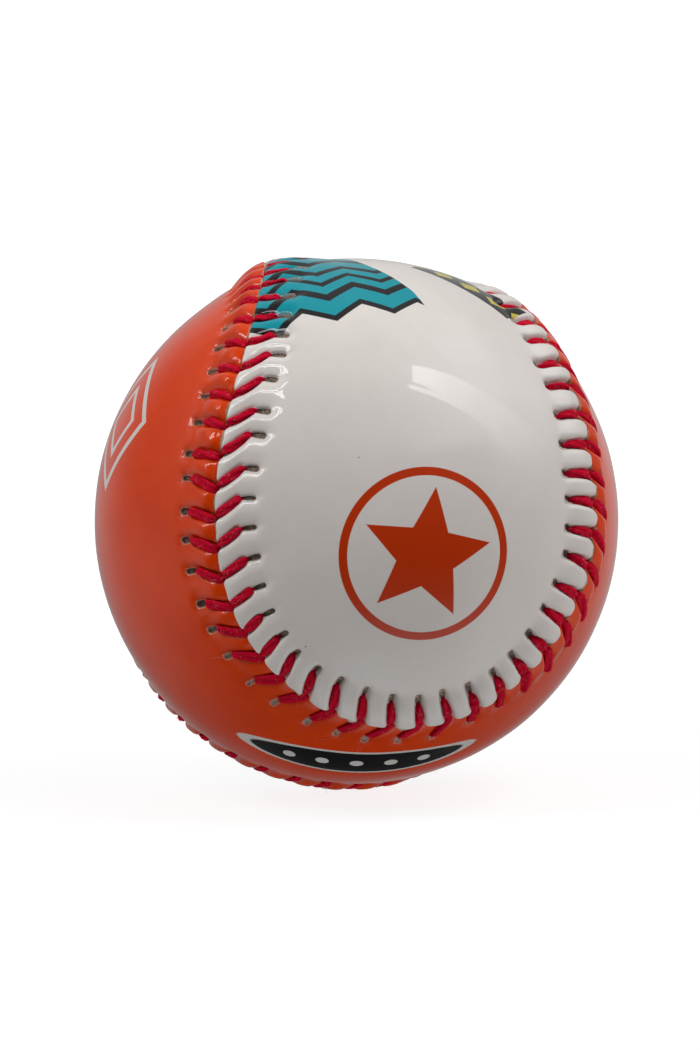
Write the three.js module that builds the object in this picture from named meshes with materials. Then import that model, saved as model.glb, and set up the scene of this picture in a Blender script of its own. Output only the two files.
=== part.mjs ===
// A hand-sewn baseball taken apart into its real pieces: a cork pill in rubber
// half shells, four yarn windings, two peanut-shaped cover panels with a row of
// awl slits along each edge, and the two threads that sew the panels together.
// Units are millimetres, +Z is up, and the origin is the centre of the ball.
// The pieces are made in the seam's own axes, where the white panel's neck
// crosses +Z and its lobes lie on -Y and +Y, and the orange panel's neck crosses
// -Z and its lobes lie on -X and +X. The whole ball is then turned to the
// attitude in which it lies, with a white lobe towards -Y.

import * as THREE from 'three';

// ---------------------------------------------------------------- dimensions
const BALL_R = 36.5;            // smooth part of the cover, outside radius
const COVER_T = 1.2;            // cover thickness away from the seam
const COVER_T_SLIT = 1.15;      // cover thickness at the slits
const COVER_T_EDGE = 1.0;       // cover thickness at the edge
const RIDGE_H = 1.7;            // how far the seam stands above the smooth ball
const RIDGE_W = 9.0;            // reach of the raised seam on each side

const STITCHES = 96;            // stitches in the whole seam, each with two legs
const STITCH_PHASE = 0.32;      // place of the first stitch, in stitches
const TIP_STITCH = 84;          // stitch index at the tip of the lobe on -Y
const SLIT_D_WHITE = 5.6;       // slit centre to seam, white side, mean
const SLIT_D_SWING = 0.6;       // change of that distance round the lobe
const SLIT_D_ORANGE = 5.5;      // slit centre to seam, orange side
const SLANT_WHITE = 1.35;       // lag of the white slit behind its stitch, mean
const SLANT_SWING = 1.35;       // change of that lag round the lobe
const SLANT_ORANGE = 1.55;      // lag of the orange slit behind its stitch
const SLIT_HALF_L = 0.68;       // half size of a slit across the seam
const SLIT_HALF_W = 0.74;       // half size of a slit along the seam
const EDGE_D = 0.2;             // panel edge to seam line at the finger tips
const NOTCH_D = 1.3;            // panel edge to seam line where thread dives
const NOTCH_HALF = 1.27;        // half width of the notch where thread dives

const THREAD_W = 0.9;           // thread width, lying flat
const THREAD_T = 0.6;           // thread thickness
const THREAD_OVER = 0.55;       // thread middle above the cover
const THREAD_UNDER = 0.8;       // thread middle below the cover
const THREAD_PAIR = 0.6;        // half distance between the two legs at a stitch
const DIVE_D = 1.1;             // where a leg starts and ends its dive

const CORK_R = 10.3;
const SHELL_IN = 10.65, SHELL_OUT = 13.9;
const JACKET_IN = 14.3, JACKET_OUT = 17.45;
const PARTING = 0.85;           // half gap between the black half shells
const GASKET_T = 1.0;           // washer thickness
const JACKET_PARTING = 0.2;     // half gap between the red half jackets
const WIND = [[18.2, 30.2], [30.5, 32.0], [32.3, 34.0], [34.3, 34.75]];
const TUCK_R = [3.2, 2.8, 2.4, 2.0];   // opening where each yarn end is tucked in
const AROUND = 20, STEP = Math.PI / 10;

const ATTITUDE = [-26.25, 1.40, 15.08];   // turns about X, Y and Z in degrees

// Seam on the unit sphere: x = cos t + A3 cos 3t + A5 cos 5t, and so on.
const A3 = 0.476807, A5 = 0.009344, C2 = 1.058649, C6 = -0.054306;

// ------------------------------------------------------------------ seam line
const V = (x, y, z) => new THREE.Vector3(x, y, z);

class SeamCurve extends THREE.Curve {
  getPoint(u, target = V()) {
    const t = u * 2 * Math.PI;
    const x = Math.cos(t) + A3 * Math.cos(3 * t) + A5 * Math.cos(5 * t);
    const y = Math.sin(t) - A3 * Math.sin(3 * t) + A5 * Math.sin(5 * t);
    const z = C2 * Math.sin(2 * t) + C6 * Math.sin(6 * t);
    const q = Math.SQRT1_2;
    return target.set(q * (x + y), q * (y - x), z).normalize();
  }
}
const seam = new SeamCurve();
seam.arcLengthDivisions = 7200;
const SEAM_L = seam.getLength() * BALL_R;
const PITCH = SEAM_L / STITCHES;

// Point at s mm along the seam and d mm to its white side, at radius r.
function onBall(s, d, r) {
  const u = (((s / SEAM_L) % 1) + 1) % 1;
  const t = seam.getUtoTmapping(u);
  const e = 1e-4;
  const c = seam.getPoint(t);
  const along = seam.getPoint(t + e).sub(seam.getPoint(t - e)).normalize();
  const side = V().crossVectors(c, along).normalize();
  const a = d / BALL_R;
  return c.multiplyScalar(Math.cos(a)).addScaledVector(side, Math.sin(a)).multiplyScalar(r);
}
function alongSeam(s) {
  return onBall(s + 0.05, 0, 1).sub(onBall(s - 0.05, 0, 1)).normalize();
}

const stitchS = (i) => (i + STITCH_PHASE) * PITCH;
const turn = (i) => (2 * Math.PI * (i + STITCH_PHASE - TIP_STITCH)) / (STITCHES / 2);
const slant = (i, side) => (side > 0 ? SLANT_WHITE - SLANT_SWING * Math.sin(turn(i)) : SLANT_ORANGE);
const slitD = (i, side) => (side > 0 ? SLIT_D_WHITE - SLIT_D_SWING * Math.cos(turn(i)) : SLIT_D_ORANGE);
const outerR = (d) => BALL_R + RIDGE_H * Math.max(0, Math.min(1, (RIDGE_W - d) / (RIDGE_W - NOTCH_D)));
function wall(d) {
  if (d >= RIDGE_W) return COVER_T;
  if (d >= SLIT_D_ORANGE) return THREE.MathUtils.mapLinear(d, SLIT_D_ORANGE, RIDGE_W, COVER_T_SLIT, COVER_T);
  return THREE.MathUtils.mapLinear(Math.max(d, NOTCH_D), NOTCH_D, SLIT_D_ORANGE, COVER_T_EDGE, COVER_T_SLIT);
}
const innerR = (d) => outerR(d) - wall(d);

// ------------------------------------------------------------ mesh from corners
function geometryFrom(points, triangles) {
  let volume = 0;
  for (const [a, b, c] of triangles) {
    volume += points[a].dot(V().crossVectors(points[b], points[c]));
  }
  const geometry = new THREE.BufferGeometry();
  geometry.setAttribute('position', new THREE.Float32BufferAttribute(points.flatMap((p) => p.toArray()), 3));
  geometry.setIndex(triangles.flatMap(([a, b, c]) => (volume > 0 ? [a, b, c] : [a, c, b])));
  geometry.computeVertexNormals();
  return geometry;
}

// ----------------------------------------------------------------- cover panels
// A panel is a strip of one cell per stitch along the seam, with a slit in each
// cell, and rows of facets from one side of the panel to the other.
const CROSS = 5;
const LEAN = 1.35;     // cell sides lean this much further than their slits
// Facets of a cell: 0 to 5 are its outline from the seam round, 6 to 9 its slit.
const CELL = [
  [0, 1, 6], [0, 6, 7], [0, 7, 5], [1, 2, 9], [1, 9, 6],
  [2, 3, 4], [2, 4, 8], [2, 8, 9], [7, 8, 4], [7, 4, 5],
];

function coverPanel(side) {
  const outer = [];     // outer skin corner; the inner skin has the same index
  const inner = [];
  const key = new Map();
  const skin = [];      // triangles of the outer skin
  const rims = [];      // open edges of the skin, closed by walls

  function corner(name, s, d) {
    if (!key.has(name)) {
      key.set(name, outer.length);
      outer.push(onBall(s, side * d, outerR(d)));
      inner.push(onBall(s, side * d, innerR(d)));
    }
    return key.get(name);
  }

  for (let i = 0; i < STITCHES; i++) {
    const j = (i + 1) % STITCHES, p = (i + STITCHES - 1) % STITCHES;
    const s0 = stitchS(i);
    const leanL = LEAN * (slant(p, side) + slant(i, side)) / 2;
    const leanR = LEAN * (slant(i, side) + slant(j, side)) / 2;
    const sh = -slant(i, side), dh = slitD(i, side);
    const half = PITCH / 2;
    const outline = [
      ['tip' + i, -half, EDGE_D], ['na' + i, -NOTCH_HALF, NOTCH_D], ['nb' + i, NOTCH_HALF, NOTCH_D],
      ['tip' + j, half, EDGE_D], ['top' + j, half - leanR, RIDGE_W], ['top' + i, -half - leanL, RIDGE_W],
    ];
    const lean = slant(i, side) / dh;
    const at = (name, x, y) => [name + i, sh + x - lean * y, dh + y];
    const slit = [
      at('h0', -SLIT_HALF_W, -SLIT_HALF_L), at('h1', -SLIT_HALF_W, SLIT_HALF_L),
      at('h2', SLIT_HALF_W, SLIT_HALF_L), at('h3', SLIT_HALF_W, -SLIT_HALF_L),
    ];
    const id = [...outline, ...slit].map(([name, s, d]) => corner(name, s0 + s, d));
    for (const [a, b, c] of CELL) skin.push(side > 0 ? [id[a], id[b], id[c]] : [id[a], id[c], id[b]]);
    rims.push([id[0], id[1]], [id[1], id[2]], [id[2], id[3]]);
    rims.push([id[6], id[7]], [id[7], id[8]], [id[8], id[9]], [id[9], id[6]]);
  }

  // Rows across the panel: corner TIP + k faces corner TIP + 1 - k over the middle.
  const tip = side > 0 ? TIP_STITCH : TIP_STITCH - STITCHES / 4;
  const top = (k) => key.get('top' + ((k % STITCHES) + STITCHES) % STITCHES);
  function row(k) {
    const a = top(tip + k), b = top(tip + 1 - k);
    const ids = [a];
    for (let m = 1; m < CROSS; m++) {
      const name = 'row' + k + '_' + m;
      if (!key.has(name)) {
        const va = outer[a].clone().normalize(), vb = outer[b].clone().normalize();
        const dir = va.lerp(vb, m / CROSS).normalize();
        key.set(name, outer.length);
        outer.push(dir.clone().multiplyScalar(BALL_R));
        inner.push(dir.clone().multiplyScalar(BALL_R - COVER_T));
      }
      ids.push(key.get(name));
    }
    ids.push(b);
    return ids;
  }
  // k = 1 and k = STITCHES / 2 are the short rows at the two lobe tips.
  const last = STITCHES / 2;
  for (let k = 1; k < last; k++) {
    const A = k === 1 ? [top(tip + 1), top(tip)] : row(k);
    const B = k === last - 1 ? [top(tip + last), top(tip + 1 - last)] : row(k + 1);
    if (A.length === B.length) {
      for (let m = 0; m < CROSS; m++) skin.push([A[m], B[m], B[m + 1]], [A[m], B[m + 1], A[m + 1]]);
    } else {
      const many = A.length > B.length ? A : B, few = A.length > B.length ? B : A;
      const order = many === A ? ((a, b, c) => [a, c, b]) : ((a, b, c) => [a, b, c]);
      const mid = Math.floor(CROSS / 2);
      for (let m = 0; m < CROSS; m++) skin.push(order(few[m < mid ? 0 : (m === mid ? 0 : 1)], many[m], many[m + 1]));
      skin.push(order(few[0], many[mid + 1], few[1]));
    }
  }

  // One turning sense for the outer skin, seen from outside.
  const out = skin.map(([a, b, c]) => {
    const n = V().crossVectors(outer[b].clone().sub(outer[a]), outer[c].clone().sub(outer[a]));
    return n.dot(outer[a]) > 0 ? [a, b, c] : [a, c, b];
  });
  const n = outer.length;
  const edges = new Set(out.flatMap(([a, b, c]) => [a + '_' + b, b + '_' + c, c + '_' + a]));
  const triangles = [...out, ...out.map(([a, b, c]) => [a + n, c + n, b + n])];
  for (const [a, b] of rims) {
    const [p, q] = edges.has(a + '_' + b) ? [a, b] : [b, a];
    triangles.push([q, p, p + n], [q, p + n, q + n]);
  }
  return geometryFrom([...outer, ...inner], triangles);
}

// ---------------------------------------------------------------------- threads
// A strand comes up through a slit, lies over its own panel to the seam, dives
// between the panels and runs under the other panel to the next slit there.
class StrandPath extends THREE.Curve {
  constructor(points, across) {
    super();
    this.points = points;
    this.across = across;
  }
  getPoint(u, target = V()) {
    const f = u * (this.points.length - 1), i = Math.min(Math.floor(f), this.points.length - 2);
    return target.lerpVectors(this.points[i], this.points[i + 1], f - i);
  }
  getSpacedPoints() {
    return this.points.map((p) => p.clone());
  }
  computeFrenetFrames() {
    const tangents = [], normals = [], binormals = [];
    const P = this.points;
    P.forEach((p, i) => {
      const before = p.clone().sub(P[Math.max(0, i - 1)]).normalize();
      const after = P[Math.min(P.length - 1, i + 1)].clone().sub(p).normalize();
      const dir = before.add(after).normalize();
      const wide = this.across[i].clone().addScaledVector(dir, -this.across[i].dot(dir)).normalize();
      tangents.push(dir);
      normals.push(wide);
      binormals.push(V().crossVectors(dir, wide));
    });
    return { tangents, normals, binormals };
  }
}

function strand(firstSide) {
  const points = [], across = [];
  const add = (s, d, r) => {
    points.push(onBall(s, d, r));
    across.push(alongSeam(s));
  };
  let side = firstSide;
  const d0 = slitD(0, side), h0 = stitchS(0) - slant(0, side);
  add(h0 - 0.5, side * (d0 - 1.5), innerR(d0 - 1.5) - THREAD_UNDER);
  for (let i = 0; i < STITCHES; i++) {
    const d = slitD(i, side), s = stitchS(i) - slant(i, side);
    const dive = stitchS(i) - side * THREAD_PAIR;
    add(s, side * d, innerR(d) - THREAD_UNDER);
    add(s, side * d, outerR(d) + THREAD_OVER);
    add(dive, side * DIVE_D, outerR(NOTCH_D) + THREAD_OVER);
    add(dive, -side * DIVE_D, innerR(NOTCH_D) - THREAD_UNDER);
    side = -side;
  }
  const dEnd = slitD(0, side), sEnd = stitchS(STITCHES) - slant(0, side);
  const from = stitchS(STITCHES - 1) + side * THREAD_PAIR;
  const f = (2.7 - DIVE_D) / (dEnd - DIVE_D);
  add(from + f * (sEnd - from), side * 2.7, innerR(2.7) - THREAD_UNDER);
  const w = THREAD_W / 2, t = THREAD_T / 2;
  const section = new THREE.Shape([
    new THREE.Vector2(-w, -t), new THREE.Vector2(w, -t), new THREE.Vector2(w, t), new THREE.Vector2(-w, t),
  ]);
  return new THREE.ExtrudeGeometry(section, {
    steps: points.length - 1, bevelEnabled: false, extrudePath: new StrandPath(points, across),
  });
}

// ----------------------------------------------------------------- round pieces
// Profiles are turned round the ball's Z axis.
function turned(profile) {
  const geometry = new THREE.LatheGeometry(profile, AROUND);
  geometry.rotateX(Math.PI / 2);
  return geometry;
}
const arc = (r, a) => new THREE.Vector2(Math.abs(Math.cos(a)) < 1e-9 ? 0 : r * Math.cos(a), r * Math.sin(a));

function solidBall(r) {
  const profile = [];
  for (let a = -5; a <= 5; a++) profile.push(arc(r, a * STEP));
  return turned(profile);
}
// Half shell above z = flat.
function halfShell(rIn, rOut, flat) {
  const profile = [new THREE.Vector2(Math.sqrt(rIn * rIn - flat * flat), flat)];
  profile.unshift(...[5, 4, 3, 2, 1].map((a) => arc(rIn, a * STEP)));
  profile.push(new THREE.Vector2(Math.sqrt(rOut * rOut - flat * flat), flat));
  profile.push(...[1, 2, 3, 4, 5].map((a) => arc(rOut, a * STEP)));
  return turned(profile);
}
function washer(rIn, rOut, t) {
  return turned([
    new THREE.Vector2(rIn, -t / 2), new THREE.Vector2(rOut, -t / 2),
    new THREE.Vector2(rOut, t / 2), new THREE.Vector2(rIn, t / 2), new THREE.Vector2(rIn, -t / 2),
  ]);
}
// Wound layer with a small opening at the top where the yarn end is tucked in.
function winding(rIn, rOut, tuck) {
  const up = (r) => new THREE.Vector2(tuck, Math.sqrt(r * r - tuck * tuck));
  const profile = [];
  for (let a = -5; a <= 4; a++) profile.push(arc(rOut, a * STEP));
  profile.push(up(rOut), up(rIn));
  for (let a = 4; a >= -5; a--) profile.push(arc(rIn, a * STEP));
  return turned(profile);
}

// -------------------------------------------------------------------- assembly
function piece(name, geometry, color, roughness) {
  const mesh = new THREE.Mesh(geometry, new THREE.MeshStandardMaterial({ color, roughness, metalness: 0 }));
  mesh.name = name;
  return mesh;
}
const lower = (mesh) => {
  mesh.rotation.x = Math.PI;
  return mesh;
};

const pill = new THREE.Group();
pill.add(
  piece('cork_pill', solidBall(CORK_R), 0xa87848, 0.9),
  piece('pill_shell_upper', halfShell(SHELL_IN, SHELL_OUT, PARTING), 0x1c1b1c, 0.7),
  lower(piece('pill_shell_lower', halfShell(SHELL_IN, SHELL_OUT, PARTING), 0x1c1b1c, 0.7)),
  piece('pill_gasket', washer(SHELL_IN + 0.25, SHELL_OUT - 0.1, GASKET_T), 0x9c1f1c, 0.6),
  piece('pill_jacket_upper', halfShell(JACKET_IN, JACKET_OUT, JACKET_PARTING), 0xa8281f, 0.6),
  lower(piece('pill_jacket_lower', halfShell(JACKET_IN, JACKET_OUT, JACKET_PARTING), 0xa8281f, 0.6)),
);

const windings = new THREE.Group();
windings.add(
  piece('winding_1_grey_wool', winding(...WIND[0], TUCK_R[0]), 0x8d8c8a, 0.95),
  piece('winding_2_white_wool', winding(...WIND[1], TUCK_R[1]), 0xe4dfd2, 0.95),
  piece('winding_3_grey_wool', winding(...WIND[2], TUCK_R[2]), 0x9a9896, 0.95),
  piece('winding_4_cotton', winding(...WIND[3], TUCK_R[3]), 0xeee8d8, 0.9),
);

const cover = new THREE.Group();
cover.add(
  piece('cover_panel_white', coverPanel(1), 0xe9e6e2, 0.28),
  piece('cover_panel_orange', coverPanel(-1), 0xd2501c, 0.28),
  piece('stitch_thread_a', strand(1), 0xc01c40, 0.6),
  piece('stitch_thread_b', strand(-1), 0xc01c40, 0.6),
);

const ball = new THREE.Group();
ball.add(pill, windings, cover);
ball.rotation.set(...ATTITUDE.map(THREE.MathUtils.degToRad), 'XYZ');

export default ball;
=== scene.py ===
import math

import bpy
import numpy as np
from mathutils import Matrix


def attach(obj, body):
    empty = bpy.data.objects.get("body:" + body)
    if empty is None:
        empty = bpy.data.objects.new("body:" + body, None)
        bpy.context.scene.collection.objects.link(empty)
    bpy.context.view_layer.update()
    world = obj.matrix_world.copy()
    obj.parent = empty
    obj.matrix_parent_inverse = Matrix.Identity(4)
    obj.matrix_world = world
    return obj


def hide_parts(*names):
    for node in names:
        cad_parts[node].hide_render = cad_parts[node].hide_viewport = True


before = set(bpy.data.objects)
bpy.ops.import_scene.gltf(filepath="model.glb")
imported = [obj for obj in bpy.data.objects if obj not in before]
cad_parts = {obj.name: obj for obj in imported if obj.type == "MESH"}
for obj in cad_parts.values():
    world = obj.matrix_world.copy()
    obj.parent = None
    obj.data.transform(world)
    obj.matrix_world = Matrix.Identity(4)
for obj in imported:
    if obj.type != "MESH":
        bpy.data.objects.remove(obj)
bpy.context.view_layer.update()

# ---------------------------------------------------------------- dimensions
# All lengths here are millimetres in the seam's own axes; out() turns them to
# the attitude of the ball and to metres.
R = 36.5
A3, A5, C2, C6 = 0.476807, 0.009344, 1.058649, -0.054306
STITCHES = 96
ATTITUDE = (-26.25, 1.40, 15.08)
FOOT_W = 12.6          # reach of the low swell along the seam, on each side
FOOT_H = 0.42          # its height
SLIT_W = 0.43          # half its width
rng = np.random.default_rng(20)


def euler(x, y, z):
    cx, sx, cy, sy, cz, sz = (f(math.radians(v)) for v in (x, y, z) for f in (math.cos, math.sin))
    rx = np.array([[1, 0, 0], [0, cx, -sx], [0, sx, cx]])
    ry = np.array([[cy, 0, sy], [0, 1, 0], [-sy, 0, cy]])
    rz = np.array([[cz, -sz, 0], [sz, cz, 0], [0, 0, 1]])
    return rx @ ry @ rz


TURN = euler(*ATTITUDE)


def out(points):
    return (np.asarray(points) @ TURN.T) * 0.001


def unit(v):
    return v / np.linalg.norm(v, axis=-1, keepdims=True)


def smooth(a, b, x):
    t = np.clip((x - a) / (b - a), 0, 1)
    return t * t * (3 - 2 * t)


# ------------------------------------------------------------------ seam line
def seam_t(t):
    x = np.cos(t) + A3 * np.cos(3 * t) + A5 * np.cos(5 * t)
    y = np.sin(t) - A3 * np.sin(3 * t) + A5 * np.sin(5 * t)
    z = C2 * np.sin(2 * t) + C6 * np.sin(6 * t)
    q = math.sqrt(0.5)
    return unit(np.stack([q * (x + y), q * (y - x), z], -1))


_T = np.linspace(0, 2 * math.pi, 40001)
_ARC = np.concatenate([[0], np.cumsum(np.linalg.norm(np.diff(seam_t(_T), axis=0), axis=1))]) * R
SEAM_L = _ARC[-1]
PITCH = SEAM_L / STITCHES


def seam_frame(s):
    t = np.interp(np.mod(s, SEAM_L), _ARC, _T)
    c = seam_t(t)
    along = unit(seam_t(t + 1e-4) - seam_t(t - 1e-4))
    return c, along, np.cross(c, along)


def on_ball(s, d, r):
    c, _, n = seam_frame(s)
    a = np.asarray(d / R)[..., None]
    return (np.cos(a) * c + np.sin(a) * n) * np.asarray(r)[..., None]


# --------------------------------------------------- stitch-to-stitch variation
def around(values, tau):
    """Value at tau of a smooth closed run through one value per stitch."""
    k = np.floor(tau).astype(int)
    f = tau - k
    f = f * f * (3 - 2 * f)
    n = len(values)
    return values[k % n] * (1 - f) + values[(k + 1) % n] * f


# stitches measured on the visible part of the seam, by number: place of the
# seam crossing (share of a pitch past the number, mm off the middle line), then
# the far ends of the white and the orange slit (share of a pitch, mm from the line)
MEASURED = {
    66: (-0.01, 0.08, None, None, -0.23, 5.27), 67: (0.24, 0.01, None, None, -0.14, 5.56),
    68: (0.32, 0.08, None, None, -0.04, 6.08), 69: (0.39, 0.30, -0.24, 6.15, 0.12, 5.96),
    70: (0.40, 0.30, -0.33, 5.95, 0.19, 5.95), 71: (0.44, 0.39, -0.22, 6.23, 0.25, 5.96),
    72: (0.41, 0.48, -0.41, 6.46, 0.38, 6.24), 73: (0.55, 0.80, -0.24, 6.44, 0.17, 5.97),
    74: (0.47, 0.57, -0.17, 6.35, 0.22, 5.97), 75: (0.44, 0.51, -0.08, 6.35, 0.09, 6.08),
    76: (0.47, 0.04, 0.03, 6.25, 0.05, 6.22), 77: (0.41, -0.02, 0.12, 5.76, 0.10, 6.26),
    78: (0.42, -0.17, 0.12, 5.40, -0.05, 6.37), 79: (0.35, -0.09, 0.08, 5.34, -0.12, 6.24),
    80: (0.30, 0.16, -0.07, 4.99, -0.06, 6.13), 81: (0.29, 0.06, -0.06, 5.10, -0.12, 5.89),
    82: (0.36, 0.10, -0.04, 5.32, 0.02, 5.63), 83: (0.36, -0.45, 0.08, 5.31, -0.05, 5.49),
    84: (0.40, -0.35, 0.20, 4.85, -0.18, 5.51), 85: (0.31, -0.53, 0.26, 4.56, -0.21, 5.46),
    86: (0.35, -0.80, 0.20, 4.66, -0.19, 5.60), 87: (0.21, -0.90, 0.22, 4.12, 0.02, 4.80),
    88: (0.18, -0.45, 0.27, 4.08, 0.02, 4.70), 89: (0.22, -0.42, 0.18, 4.39, -0.04, 5.22),
    90: (0.25, -0.31, 0.16, 4.78, -0.12, 5.80), 91: (0.29, 0.09, 0.23, 5.17, -0.14, 6.10),
    92: (0.23, -0.01, 0.24, 5.33, -0.20, 6.20), 93: (0.32, -0.08, 0.39, 5.17, -0.16, 6.00),
    94: (0.36, 0.08, 0.33, 5.67, -0.16, 5.60), 95: (0.38, 0.45, 0.38, 5.85, -0.06, 5.20),
    0: (0.26, 0.55, 0.26, 6.14, -0.06, 5.00), 1: (0.26, 0.40, 0.23, 5.72, 0.04, 5.00),
    2: (0.37, 0.05, 0.22, 5.18, None, None), 3: (0.45, -0.05, 0.29, 5.03, None, None),
    4: (0.32, 0.45, 0.07, 5.53, None, None), 5: (0.22, 0.30, 0.15, 5.04, None, None),
}
USUAL = (0.33, 0.20, 0.06, 5.60, -0.02, 5.60)
SPREAD = (0.04, 0.12, 0.05, 0.20, 0.05, 0.20)
STITCH = np.array(USUAL)[None, :] + rng.normal(0, 1, (STITCHES, 6)) * np.array(SPREAD)
for _i, _row in MEASURED.items():
    for _k, _v in enumerate(_row):
        if _v is not None:
            STITCH[_i, _k] = _v
STITCH[:, :2] = 0.2 * np.roll(STITCH[:, :2], 1, 0) + 0.6 * STITCH[:, :2] + 0.2 * np.roll(STITCH[:, :2], -1, 0)
# height of the fingers along the seam, and which cover's edge lies over the other's
CREST = np.interp(np.arange(STITCHES), (0, 7, 12, 30, 36, 39, 44, 50, 60, 63, 67, 80, 96),
                  (1.50, 1.43, 1.50, 1.55, 1.42, 1.16, 1.22, 1.50, 1.72, 1.72, 1.60, 1.55, 1.50))
CREST = {1: CREST - np.interp(np.arange(STITCHES), (0, 63, 67, 76, 80, 96), (0, 0, 0.45, 0.45, 0, 0)), -1: CREST - np.interp(np.arange(STITCHES), (0, 75, 79, 88, 92, 96), (0, 0, 0.78, 0.78, 0, 0))}
OVER = np.interp(np.arange(STITCHES), (0, 55, 59, 65, 69, 96), (1, 1, -1, -1, 1, 1))
# length of each slit that its thread leaves open
GAP = {1: np.interp(np.arange(STITCHES), (0, 3, 6, 11, 18, 60, 66, 77, 80, 86, 88, 92, 96), (1.75, 1.55, 1.3, 1.2, 2.0, 2.0, 2.45, 2.45, 1.9, 2.2, 2.5, 2.0, 1.75)),
       -1: np.interp(np.arange(STITCHES), (0, 6, 12, 60, 66, 78, 81, 85, 88, 96), (0.6, 0.9, 2.0, 2.0, 2.3, 2.3, 2.0, 1.7, 0.6, 0.6))}
GAP = {s: np.maximum(v + rng.normal(0, 0.12, STITCHES), 0.5) for s, v in GAP.items()}
# how far the leather under the coated skin shows past each finger's end
LINING = {s: np.where(rng.random(STITCHES) < 0.45, rng.uniform(0.05, 0.25, STITCHES), 0.0) for s in (1, -1)}
LINING[1][[1, 2, 80, 81, 82, 84, 90, 92, 93, 95]] = 0.66, 0.34, 0.34, 0.22, 0.40, 0.42, 0.36, 0.72, 0.50, 0.76
LINING[-1][78:96] *= 0.3
# how far the corners of a finger's end are drawn back, and how full of yarn each slit is, which sets its depth and how
# dark its inside is painted as shade
ROUND = np.interp(np.arange(STITCHES), (0, 6, 30, 60, 66, 77, 80, 86, 89, 96), (0.86, 0.84, 0.50, 0.45, 0.40, 0.40, 0.26, 0.34, 0.84, 0.86))
# where a finger starts to fall and reaches the swell, by cover and stitch
FALL = {1: (np.interp(np.arange(STITCHES), (0, 60, 65, 77, 82, 96), (1.2, 1.2, 0.0, 0.0, 1.4, 1.2)),
            np.interp(np.arange(STITCHES), (0, 60, 65, 77, 82, 96), (5.8, 5.8, 14.0, 14.0, 5.8, 5.8))),
        -1: (np.interp(np.arange(STITCHES), (0, 2, 4, 6, 8, 10, 16, 86, 91, 96), (2.7, 2.4, 1.4, 1.4, 2.0, 2.0, 1.2, 1.2, 2.7, 2.7)), np.full(STITCHES, 5.8))}
# how flat a finger's top is, and how far the slits are drawn in
FLAT = {1: np.interp(np.arange(STITCHES), (0, 10, 16, 60, 66, 78, 86, 90, 96), (5.6, 5.6, 3.4, 3.6, 7.0, 7.0, 4.0, 5.6, 5.6)),
        -1: np.interp(np.arange(STITCHES), (0, 10, 16, 60, 66, 76, 82, 86, 90, 96), (5.6, 5.6, 3.4, 3.4, 2.9, 2.9, 4.0, 4.0, 5.6, 5.6))}
SINK = {1: np.interp(np.arange(STITCHES), (0, 8, 14, 66, 78, 82, 86, 90, 96), (0.42, 0.42, 0.26, 0.26, 0.26, 0.16, 0.16, 0.36, 0.42)),
        -1: np.interp(np.arange(STITCHES), (0, 60, 66, 77, 80, 90, 96), (0.20, 0.20, 0.26, 0.22, 0.02, 0.02, 0.20))}
# where the fingers run level to the slits, each a low dome with its top nearer the stitch before
LEVEL = {1: np.interp(np.arange(STITCHES), (0, 60, 65, 77, 82, 96), (0, 0, 1, 1, 0, 0)), -1: np.zeros(STITCHES)}
DOME, BOWL = 0.40, 0.10
# how far the ends of the fingers roll down to the other cover's
ROLL = {1: np.zeros(STITCHES), -1: np.interp(np.arange(STITCHES), (0, 62, 67, 76, 80, 96), (0, 0, 0.46, 0.46, 0, 0))}
# how far the skin of the fingers is puckered along them
PUCKER = {1: np.zeros(STITCHES), -1: np.interp(np.arange(STITCHES), (0, 14, 24, 61, 66, 79, 83, 96), (0, 0, 0.05, 0.05, 0.15, 0.15, 0, 0))}
# where the threads lie deep between the fingers
DEEP = {1: np.interp(np.arange(STITCHES), (0, 2, 5, 10, 14, 96), (0.0, 0.10, 0.28, 0.28, 0.0, 0.0)), -1: np.zeros(STITCHES)}
# how far the far end of a slit curls up
CURL = {1: np.interp(np.arange(STITCHES), (0, 6, 12, 86, 91, 96), (0.42, 0.40, 0.0, 0.0, 0.34, 0.42)), -1: np.zeros(STITCHES)}
# slant of the cut between two stitches, width of the slits, and how far a finger narrows to its end
SKEW = np.interp(np.arange(STITCHES), (0, 6, 14, 86, 91, 96), (1.35, 1.45, 0.0, 0.0, 0.80, 1.25))
WIDE = np.interp(np.arange(STITCHES), (0, 6, 12, 86, 91, 96), (1.30, 1.20, 1.0, 1.0, 1.30, 1.30))
TAPER = {1: np.interp(np.arange(STITCHES), (0, 8, 14, 84, 89, 96), (0.26, 0.26, 0.0, 0.0, 0.26, 0.26)), -1: np.zeros(STITCHES)}
SLIM = {1: np.ones(STITCHES), -1: np.interp(np.arange(STITCHES), (0, 77, 80, 88, 91, 96), (1.0, 1.0, 0.80, 0.80, 1.0, 1.0))}
FULL = {1: np.interp(np.arange(STITCHES), (0, 60, 66, 77, 80, 86, 90, 96), (0.45, 0.4, 0.45, 0.45, 0.6, 0.75, 0.65, 0.50)),
        -1: np.interp(np.arange(STITCHES), (0, 60, 66, 77, 80, 88, 96), (0.5, 0.5, 0.25, 0.2, 0.95, 0.95, 0.5))}
JIT_F = {s: rng.normal(0, 1, STITCHES) for s in (1, -1)}
JIT_E = rng.normal(0, 0.09, STITCHES)
JIT_W = {s: rng.normal(1, 0.07, STITCHES) for s in (1, -1)}
JIT_H = {s: rng.normal(1, 0.09, STITCHES) for s in (1, -1)}


def seam_off(tau, side):
    """Where the two covers meet, on this side's own scale."""
    return side * around(STITCH[:, 1], tau)


def slit_end(tau, side):
    return around(STITCH[:, 3 if side > 0 else 5], tau)


def slit_gap(tau, side):
    return around(GAP[side], tau)


def slant(tau, side):
    return (around(STITCH[:, 2 if side > 0 else 4], tau) - around(STITCH[:, 0], tau)) * PITCH


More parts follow.
